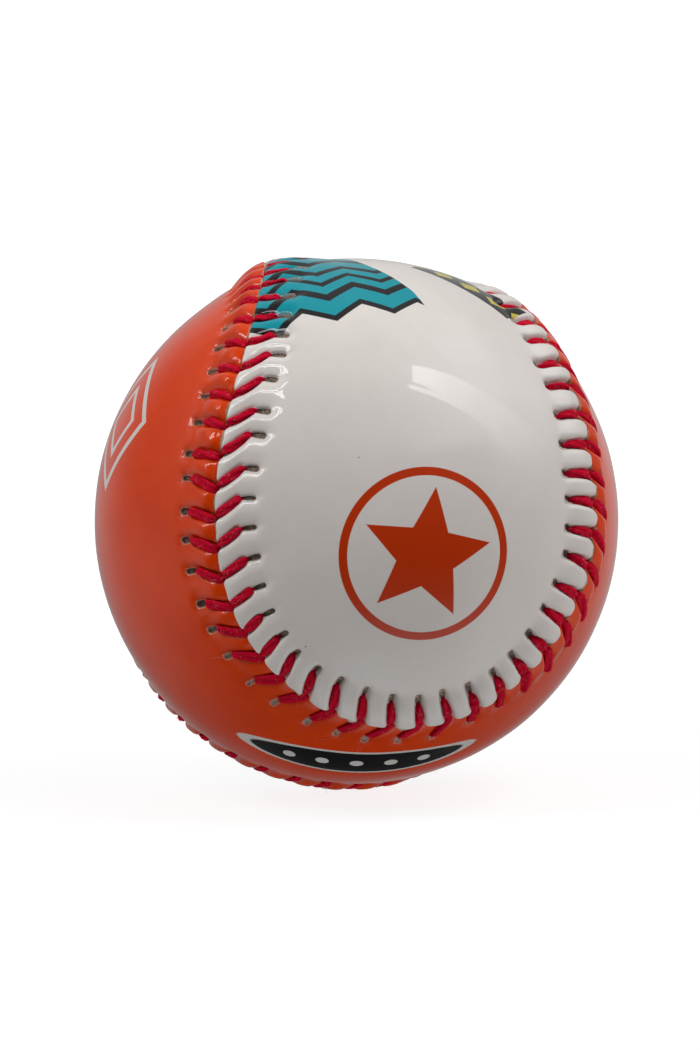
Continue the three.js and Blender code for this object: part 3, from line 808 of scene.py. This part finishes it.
def white_prints(nt, col):
    def lay(g, mask, ink):
        return g.mix(mask, col, ink)

    for x, y, z, roll in ((0.26, -0.13, 0.957, -8), (-0.30, 0.15, -0.942, 14)):
        g = Patch(nt, x, y, z, roll)
        col = lay(g, g.under(g.star(5, 9.6, 4.3)), ORANGE_INK)
        col = lay(g, g.band(g.radius(), 11.2, 12.5), ORANGE_INK)
    g = Patch(nt, -0.12, 0.86, 0.50, 9)
    z = g.math("SUBTRACT", g.v, g.zigzag(g.u, 8.4, 1.5))
    ends = g.both(g.under(g.math("ADD", g.math("SUBTRACT", g.u, 11.5), g.math("MULTIPLY", z, 0.35))), g.under(g.math("SUBTRACT", -24.0, g.u)))
    col = lay(g, g.both(ends, g.band(z, -6.2, 18.0)), BLACK_INK)
    col = lay(g, g.both(ends, g.band(z, -4.9, -1.5)), TEAL_INK)
    col = lay(g, g.both(ends, g.band(z, 0.2, 5.6)), TEAL_INK)
    col = lay(g, g.both(ends, g.band(z, 2.3, 3.5)), BLACK_INK)
    col = lay(g, g.both(ends, g.band(z, 7.0, 10.4)), TEAL_INK)
    col = lay(g, g.both(ends, g.band(z, 12.0, 16.6)), TEAL_INK)
    g = Patch(nt, 0.43, 0.882, 0.19, -19)
    cell = g.math("SUBTRACT", g.math("PINGPONG", g.math("ADD", g.u, 44.0), 2.2), 0.0)
    dia = g.math("SUBTRACT", g.math("ADD", cell, g.math("ABSOLUTE", g.v)), 1.75)
    inside = g.both(g.band(g.v, -2.9, 2.9), g.band(g.u, -8.4, 8.0))
    col = lay(g, inside, BLACK_INK)
    col = lay(g, g.both(inside, g.under(dia)), YELLOW_INK)
    return col


def orange_prints(nt, col):
    def lay(g, mask, ink):
        return g.mix(mask, col, ink)

    g = Patch(nt, -0.885, 0.38, 0.27, 0)
    for lo, hi in ((7.6, 8.9), (3.6, 4.7)):
        ring = g.math("ADD", g.math("ABSOLUTE", g.u), g.math("MULTIPLY", g.math("ABSOLUTE", g.v), 0.85))
        col = lay(g, g.band(ring, lo, hi), WHITE_INK)
    g = Patch(nt, 0.0, -0.915, 0.40, -4)
    lens = g.radius(16.5, 3.5)
    col = lay(g, g.under(g.math("SUBTRACT", lens, 1.12), 0.02), WHITE_INK)
    col = lay(g, g.under(g.math("SUBTRACT", lens, 0.97), 0.02), BLACK_INK)
    du = g.math("PINGPONG", g.math("ADD", g.u, 48.0), 2.4)
    dot = g.math("SQRT", g.math("ADD", g.math("MULTIPLY", du, du), g.math("MULTIPLY", g.v, g.v)))
    col = lay(g, g.both(g.under(g.math("SUBTRACT", dot, 0.95)), g.band(g.u, -12.5, 12.5)), WHITE_INK)
    return col


def cover_material(name, tint_a, tint_b, prints, rim_col, edge_col):
    m, nt, b = material(name)
    g = Net(nt)
    tone = g.math("ADD", g.math("MULTIPLY", g.noise(140, 4, 0.55), 0.6), g.math("MULTIPLY", g.noise(4200, 2, 0.6), 0.4))
    col = g.mix(g.step(0.3, 0.7, tone), (*tint_a, 1), (*tint_b, 1))
    col = prints(nt, col)
    speck = nt.nodes.new("ShaderNodeTexVoronoi")
    nt.links.new(g.coords(), speck.inputs["Vector"])
    speck.inputs["Scale"].default_value = 170
    col = g.mix(g.math("MULTIPLY", g.step(0.030, 0.018, speck.outputs["Distance"]), 0.5), col, (0.06, 0.05, 0.045, 1))
    # painted shade: the grooves beside the thread legs and the cut walls under the finger ends are darkened toward dark
    # brown
    groove_shade = g.math("MULTIPLY", g.attr("crease"), 0.22)
    col = g.mix(groove_shade, col, (0.10, 0.05, 0.04, 1))
    col = g.mix(g.math("MULTIPLY", g.attr("rim"), 0.68), col, (*rim_col, 1))
    fibre = g.noise(3200, 3, 0.7)
    col = g.mix(g.attr("cut"), col, g.mix(fibre, (*[c * 0.6 for c in edge_col], 1), (*edge_col, 1)))
    # inside the slits: yarn colours where the attribute yarn is high; where it is low, toward the thread and in the
    # open holes, painted near-black as shade in the hole
    full = g.attr("yarn")
    inside = g.mix(g.step(0.36, 0.64, fibre), g.mix(full, (0.030, 0.020, 0.016, 1), (0.24, 0.175, 0.135, 1)), g.mix(full, (0.15, 0.115, 0.09, 1), (0.62, 0.49, 0.40, 1)))
    hole = g.step(0.30, 0.75, g.attr("slit"))
    col = g.mix(hole, col, inside)
    nt.links.new(col, b.inputs["Base Color"])
    rough = g.math("ADD", g.math("MULTIPLY", g.noise(420, 4, 0.6), 0.16), 0.26)
    rough = g.math("MAXIMUM", rough, g.math("MULTIPLY", hole, 0.9))
    nt.links.new(rough, b.inputs["Roughness"])
    b.inputs["Specular IOR Level"].default_value = 0.0
    dull = g.math("MAXIMUM", hole, g.attr("cut"))
    nt.links.new(g.math("SUBTRACT", 1.0, dull, clamp=True), b.inputs["Coat Weight"])
    b.inputs["Coat Roughness"].default_value = 0.022
    b.inputs["Coat IOR"].default_value = 1.45
    h = g.math("ADD", g.math("MULTIPLY", g.noise(2600, 2, 0.5), 0.014), g.math("MULTIPLY", g.noise(230, 2, 0.5), 0.14))
    # faint edge of the film that the cover is coated with
    film = g.step(0.14, 0.03, g.math("ABSOLUTE", g.math("SUBTRACT", g.attr("dist"), g.math("ADD", 8.7, g.math("MULTIPLY", g.noise(60, 1, 0.5), 1.2)))))
    h = g.math("ADD", h, g.math("MULTIPLY", g.math("MULTIPLY", film, g.step(0.46, 0.60, g.noise(75, 1, 0.5))), 0.10))
    soft = g.bump(h, 0.5, 0.00025)
    nrm = g.bump(g.math("MULTIPLY", fibre, dull), 0.9, 0.0002, soft)
    nt.links.new(nrm, b.inputs["Normal"])
    nt.links.new(soft, b.inputs["Coat Normal"])
    return m


def thread_material():
    m, nt, b = material("waxed_crimson_thread")
    g = Net(nt)
    uv = nt.nodes.new("ShaderNodeUVMap")
    uv.uv_map = "strand"
    mp = nt.nodes.new("ShaderNodeMapping")
    mp.inputs["Scale"].default_value = (1.7, 52.0, 1.0)
    mp.inputs["Rotation"].default_value = (0, 0, 0.0)
    nt.links.new(uv.outputs[0], mp.inputs[0])
    fib = g.noise(1.0, 4, 0.65, mp.outputs[0])
    col = g.mix(g.step(0.34, 0.68, fib), (0.54, 0.0008, 0.018, 1), (0.97, 0.0040, 0.050, 1))
    # painted shade in the creases between the plies
    col = g.mix(g.math("MULTIPLY", g.attr("crease"), 0.6), col, (0.30, 0.0005, 0.010, 1))
    col = g.mix(g.math("MULTIPLY", g.step(0.58, 0.74, g.noise(1500, 3, 0.6)), 0.44), col, (0.93, 0.13, 0.19, 1))
    nt.links.new(col, b.inputs["Base Color"])
    nt.links.new(g.math("ADD", g.math("MULTIPLY", fib, 0.3), 0.45), b.inputs["Roughness"])
    b.inputs["Specular IOR Level"].default_value = 0.05
    b.inputs["Sheen Weight"].default_value = 0.01
    b.inputs["Sheen Roughness"].default_value = 0.4
    b.inputs["Sheen Tint"].default_value = (1.0, 0.45, 0.5, 1)
    nt.links.new(g.bump(fib, 0.75, 0.00016), b.inputs["Normal"])
    return m


def soft_material(name, c1, c2, scale, rough, stretch=(1, 1, 1), bump=0.6, dist=0.0004):
    m, nt, b = material(name)
    g = Net(nt)
    mp = nt.nodes.new("ShaderNodeMapping")
    mp.inputs["Scale"].default_value = stretch
    nt.links.new(g.coords(), mp.inputs[0])
    n1 = g.noise(scale, 4, 0.6, mp.outputs[0], 0.6)
    n2 = g.noise(scale * 4, 3, 0.6, mp.outputs[0])
    nt.links.new(g.mix(g.step(0.35, 0.65, n1), (*c1, 1), (*c2, 1)), b.inputs["Base Color"])
    nt.links.new(g.math("ADD", g.math("MULTIPLY", n2, 0.25), rough - 0.12), b.inputs["Roughness"])
    nt.links.new(g.bump(g.math("ADD", n1, g.math("MULTIPLY", n2, 0.5)), bump, dist), b.inputs["Normal"])
    return m


# ---------------------------------------------------------------------- assembly
white = build_panel("cover_white", 1)
orange = build_panel("cover_orange", -1)
strand_a = build_strand("thread_a", 1)
strand_b = build_strand("thread_b", -1)
fuzz = build_hairs("thread_fuzz", fuzz_lines(), 0.017)

white.data.materials.append(cover_material("white_coated_cover", (0.832, 0.776, 0.736), (0.886, 0.828, 0.786), white_prints, (0.62, 0.59, 0.55), (0.70, 0.60, 0.46)))
orange.data.materials.append(cover_material("orange_coated_cover", (0.79, 0.050, 0.001), (0.885, 0.064, 0.001), orange_prints, (0.78, 0.52, 0.38), (0.78, 0.58, 0.42)))
red = thread_material()
strand_a.data.materials.append(red)
strand_b.data.materials.append(red)
fuzz.data.materials.append(soft_material("loose_fibre_ends", (0.62, 0.05, 0.09), (0.86, 0.42, 0.42), 300, 0.7, bump=0.3, dist=0.00005))
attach(fuzz, "root")

for piece, node, slot in ((white, "cover_panel_white", "white_cover"), (orange, "cover_panel_orange", "orange_cover"),
                          (strand_a, "stitch_thread_a", "thread"), (strand_b, "stitch_thread_b", "thread")):
    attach(piece, "root")
    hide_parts(node)

inner = {
    "cork_pill": soft_material("composition_cork", (0.30, 0.17, 0.08), (0.50, 0.32, 0.17), 420, 0.9),
    "pill_shell_upper": soft_material("black_rubber", (0.012, 0.012, 0.013), (0.030, 0.029, 0.030), 300, 0.65, bump=0.2),
    "pill_gasket": soft_material("red_rubber_washer", (0.34, 0.025, 0.02), (0.42, 0.04, 0.03), 300, 0.6, bump=0.2),
    "pill_jacket_upper": soft_material("red_rubber", (0.30, 0.022, 0.018), (0.40, 0.04, 0.03), 260, 0.6, bump=0.2),
    "winding_1_grey_wool": soft_material("grey_wool_yarn", (0.20, 0.195, 0.19), (0.40, 0.39, 0.38), 380, 0.95, (1, 6, 2)),
    "winding_2_white_wool": soft_material("white_wool_yarn", (0.62, 0.58, 0.50), (0.84, 0.80, 0.72), 420, 0.95, (2, 1, 6)),
    "winding_3_grey_wool": soft_material("grey_wool_yarn_fine", (0.24, 0.235, 0.23), (0.46, 0.45, 0.44), 460, 0.95, (6, 2, 1)),
    "winding_4_cotton": soft_material("cotton_yarn", (0.70, 0.64, 0.52), (0.90, 0.86, 0.76), 620, 0.9, (1, 5, 5)),
}
inner["pill_shell_lower"] = inner["pill_shell_upper"]
inner["pill_jacket_lower"] = inner["pill_jacket_upper"]
for node, mat in inner.items():
    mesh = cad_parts[node]
    for k in range(max(1, len(mesh.material_slots))):
        if k < len(mesh.material_slots):
            mesh.material_slots[k].material = mat
        else:
            mesh.data.materials.append(mat)

# ------------------------------------------------------------- floor and camera
FLOOR_Z = min(v.co.z for v in white.data.vertices)
for ob in (orange, strand_a, strand_b):
    FLOOR_Z = min(FLOOR_Z, min(v.co.z for v in ob.data.vertices))


def floor_plane(name, drop, tone, glow):
    n, size = 24, 9.0
    xs = np.linspace(-size, size, n + 1)
    X, Y = np.meshgrid(xs, xs, indexing="ij")
    mesh = bpy.data.meshes.new(name)
    v = np.stack([X, Y, np.full_like(X, FLOOR_Z - drop)], -1).reshape(-1, 3)
    i = np.arange((n + 1) ** 2).reshape(n + 1, n + 1)
    f = np.stack([i[:-1, :-1], i[1:, :-1], i[1:, 1:], i[:-1, 1:]], -1).reshape(-1, 4)
    mesh.from_pydata(v.tolist(), [], f.tolist())
    ob = bpy.data.objects.new(name, mesh)
    bpy.context.scene.collection.objects.link(ob)
    m, nt, b = material(name + "_paint_and_glow")
    g = Net(nt)
    nt.links.new(g.mix(g.noise(3.0, 2, 0.5), (tone, tone, tone, 1), (tone * 1.03, tone * 1.03, tone * 1.03, 1)), b.inputs["Base Color"])
    b.inputs["Roughness"].default_value = 0.9
    b.inputs["Specular IOR Level"].default_value = 0.05
    # the floor's own glow is painted light standing in for even studio light on it: weaker near the ball so its cast
    # shadow shows, rising to 0.97 by 0.45 m away
    b.inputs["Emission Color"].default_value = (1, 1, 1, 1)
    away = nt.nodes.new("ShaderNodeVectorMath")
    away.operation = "LENGTH"
    nt.links.new(g.coords(), away.inputs[0])
    nt.links.new(g.math("ADD", glow, g.math("MULTIPLY", g.step(0.05, 0.45, away.outputs["Value"]), 0.97 - glow)), b.inputs["Emission Strength"])
    mesh.materials.append(m)
    return ob


# the floor is seen only: the light that it gives back to the ball is in the world
seen = floor_plane("studio_floor", 0.0, 0.20, 0.86)
seen.visible_diffuse = seen.visible_glossy = seen.visible_transmission = seen.visible_shadow = False

world = bpy.data.worlds.new("studio")
bpy.context.scene.world = world
world.use_nodes = True
wn = world.node_tree
wn.nodes.clear()
gw = Net(wn)
wdir = gw.coords("Generated")


def wdot(axis):
    n = wn.nodes.new("ShaderNodeVectorMath")
    n.operation = "DOT_PRODUCT"
    wn.links.new(wdir, n.inputs[0])
    n.inputs[1].default_value = tuple(float(q) for q in axis)
    return n.outputs["Value"]


wx, wy, wz = wdot(CAM_R), wdot(CAM_U), wdot(CAM_B)
# soft light from around and below: direction right, up and to the camera, then strength
LOBES = ((0.641, 0.767, -0.043, 1.886), (0.085, -0.935, 0.340, 1.750), (0.663, 0.656, 0.362, 1.422), (-0.720, 0.620, 0.310, 0.660),
         (0.664, -0.744, 0.066, 1.110), (-0.800, 0.250, 0.545, 0.330), (0.426, 0.233, -0.874, 0.430), (0.405, 0.544, 0.734, 0.480),
         (-0.201, 0.922, -0.330, 0.426), (-0.713, -0.478, -0.513, 0.225), (0.727, -0.344, -0.594, 0.290), (-0.250, 0.633, -0.732, 0.270),
         (-0.441, 0.167, -0.882, 0.279), (-0.727, -0.011, -0.687, 0.200), (0.160, 0.056, -0.985, 0.220),
         (-0.970, -0.220, -0.080, 0.420), (-0.780, 0.600, 0.000, 0.430), (-0.300, -0.220, -0.930, 0.050))
lum = None
for lx, ly, lz, strong in LOBES:
    near = gw.math("MULTIPLY", gw.math("SUBTRACT", wdot(unit(cam_dir(lx, ly, lz))), 1.0), 12.0)
    part = gw.math("MULTIPLY", gw.math("POWER", math.e, near), strong)
    lum = part if lum is None else gw.math("ADD", lum, part)
# the unlit side of the studio, behind the camera
ax = gw.math("ARCTAN2", wx, wz)
ay = gw.math("ARCSINE", wy)
dark = gw.math("MULTIPLY", gw.math("MULTIPLY", gw.step(-0.56, -0.42, ax), gw.step(1.24, 1.06, ax)),
               gw.math("MULTIPLY", gw.step(-0.38, -0.28, ay), gw.step(0.56, 0.44, ay)))
lum = gw.math("MULTIPLY", lum, gw.math("SUBTRACT", 1.0, gw.math("MULTIPLY", dark, 0.80)))
# long curved reflector above and to the right, brightest at its near end
c0 = unit(np.array([0.46, 0.835, 0.30]))
e1 = np.array([0.86, -0.415, -0.29])
e1 = unit(e1 - c0 * (e1 @ c0))
e2 = np.cross(c0, e1)
u = gw.math("ARCTAN2", wdot(cam_dir(*e1)), wdot(cam_dir(*c0)))
v = gw.math("ARCSINE", wdot(cam_dir(*e2)))
run = gw.math("ADD", gw.math("MULTIPLY", gw.step(0.36, -0.12, u), 4.1), gw.math("MULTIPLY", gw.step(1.0, 0.45, u), 0.9))
run = gw.math("MULTIPLY", run, gw.step(-0.145, -0.125, gw.math("SUBTRACT", u, gw.math("MULTIPLY", gw.step(-0.055, -0.070, v), -0.025))))
side_v = gw.math("SUBTRACT", gw.math("ABSOLUTE", v), gw.math("MULTIPLY", u, 0.06))
run = gw.math("MULTIPLY", run, gw.step(0.128, 0.104, side_v))
rib = gw.math("MULTIPLY", gw.step(0.020, 0.008, gw.math("ABSOLUTE", gw.math("ADD", v, 0.062))), gw.step(0.06, -0.06, u))
run = gw.math("MULTIPLY", run, gw.math("SUBTRACT", 1.0, gw.math("MULTIPLY", rib, 0.9)))
lum = gw.math("ADD", lum, run)
bg = wn.nodes.new("ShaderNodeBackground")
bg.inputs[0].default_value = (1, 1, 1, 1)
wn.links.new(lum, bg.inputs[1])
wo = wn.nodes.new("ShaderNodeOutputWorld")
wn.links.new(bg.outputs[0], wo.inputs[0])


def area(name, direction, along, dist, size, power):
    """A flat lamp facing the ball, its long side in the direction along."""
    data = bpy.data.lights.new(name, "AREA")
    data.shape = "RECTANGLE"
    data.size, data.size_y = size
    data.energy = power
    ob = bpy.data.objects.new(name, data)
    from mathutils import Matrix, Vector
    z = unit(np.array(direction, float))
    x = unit(along - z * (along @ z))
    y = np.cross(z, x)
    ob.matrix_world = Matrix.Translation(Vector(z * dist)) @ Matrix((x, y, z)).transposed().to_4x4()
    bpy.context.scene.collection.objects.link(ob)
    return ob


for name, tilt in (("key_left_upper", 0.06), ("key_left_lower", -0.06)):
    area(name, cam_dir(-0.585, 0.68 + 0.54 * tilt, 0.44 - 0.84 * tilt), cam_dir(0.86, 0.46, 0.21), 0.9, (0.64, 0.070), 1.33)

K = 30.0
cam = bpy.data.cameras.new("photo_camera")
cam.sensor_fit = "HORIZONTAL"
cam.sensor_width = 36.0
cam.lens = 262.0 * math.sqrt(K * K - 1) * 36.0 / 700.0
cam.clip_start, cam.clip_end = 0.01, 50.0
cam_ob = bpy.data.objects.new("photo_camera", cam)
from mathutils import Matrix, Vector
cam_ob.matrix_world = Matrix.Translation(Vector(CAM_B * K * R * 0.001 - CAM_R * 0.000890 - CAM_U * 0.000640)) @ Matrix((CAM_R, CAM_U, CAM_B)).transposed().to_4x4()
bpy.context.scene.collection.objects.link(cam_ob)
bpy.context.scene.camera = cam_ob
bpy.context.scene.view_settings.view_transform = "Standard"
bpy.context.scene.view_settings.look = "None"
